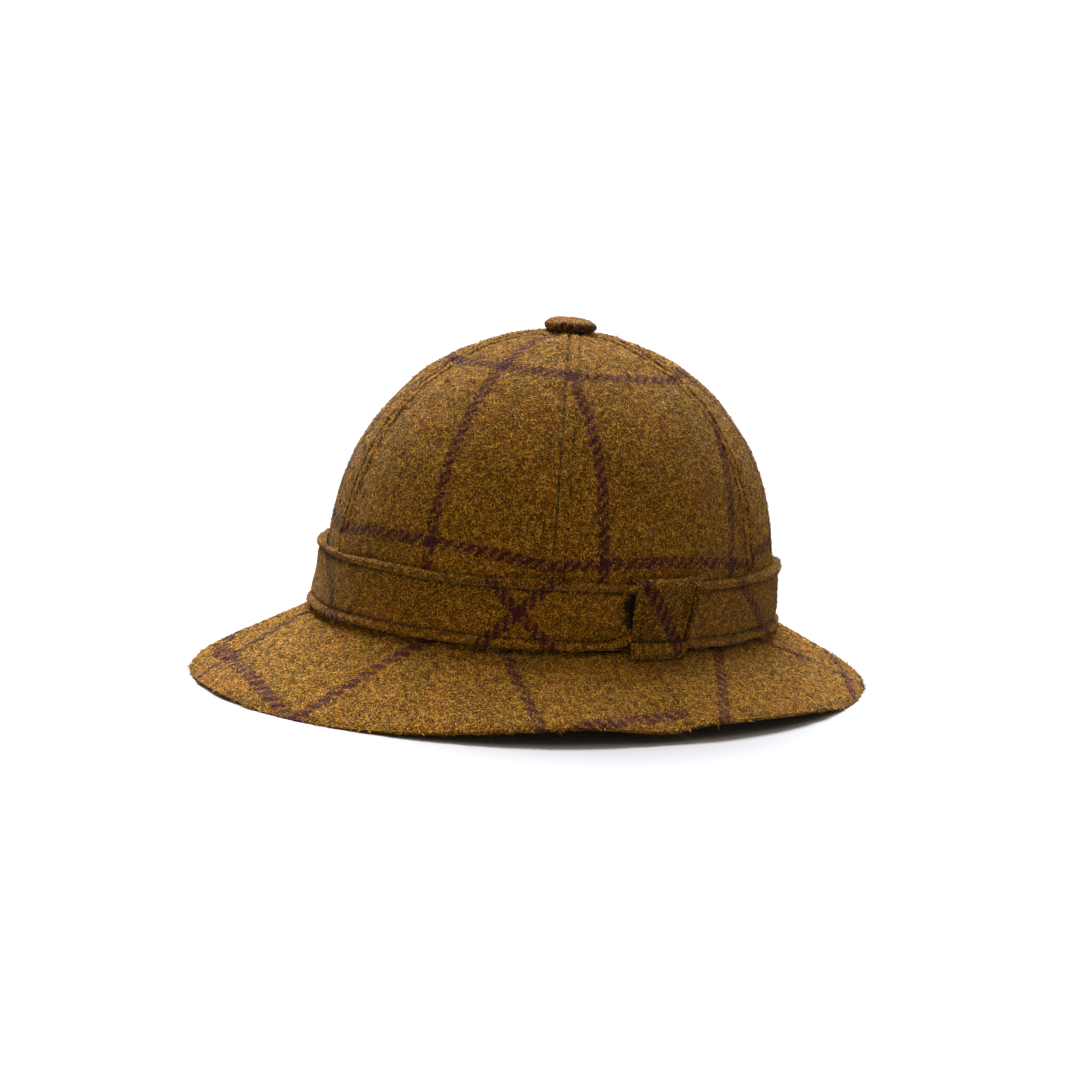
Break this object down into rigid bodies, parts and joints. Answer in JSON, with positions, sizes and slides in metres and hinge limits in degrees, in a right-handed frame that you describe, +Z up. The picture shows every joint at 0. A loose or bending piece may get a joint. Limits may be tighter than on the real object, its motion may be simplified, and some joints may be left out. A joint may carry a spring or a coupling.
{
  "type": "wool walking hat",
  "caption": "Panelled wool walking hat with a covered top button, a turned-down brim and a cloth band that runs through a loop on the wearer's left.",
  "frame": {"origin": "under the middle of the hat's outline, on the surface that it stands on", "axes": "-Y is the front of the hat, +X the wearer's left, +Z up"},
  "size_m": [0.2699, 0.305, 0.1556],
  "materials": {
    "crown_cloth": "brushed wool twill, ochre with a wide dark maroon windowpane check",
    "button_cloth": "the same wool twill, stretched over a button",
    "brim_cloth": "the same wool twill, two layers with a stiffener between",
    "band_cloth": "the same wool twill, cut on the bias and folded"
  },
  "bodies": {
    "root": {"crown_panel_1": "crown_cloth", "crown_panel_2": "crown_cloth", "crown_panel_3": "crown_cloth", "crown_panel_4": "crown_cloth", "crown_panel_5": "crown_cloth", "crown_panel_6": "crown_cloth", "crown_button": "button_cloth", "brim_front": "brim_cloth", "brim_back": "brim_cloth", "hat_band": "band_cloth", "band_loop": "band_cloth"}
  },
  "joints": []
}
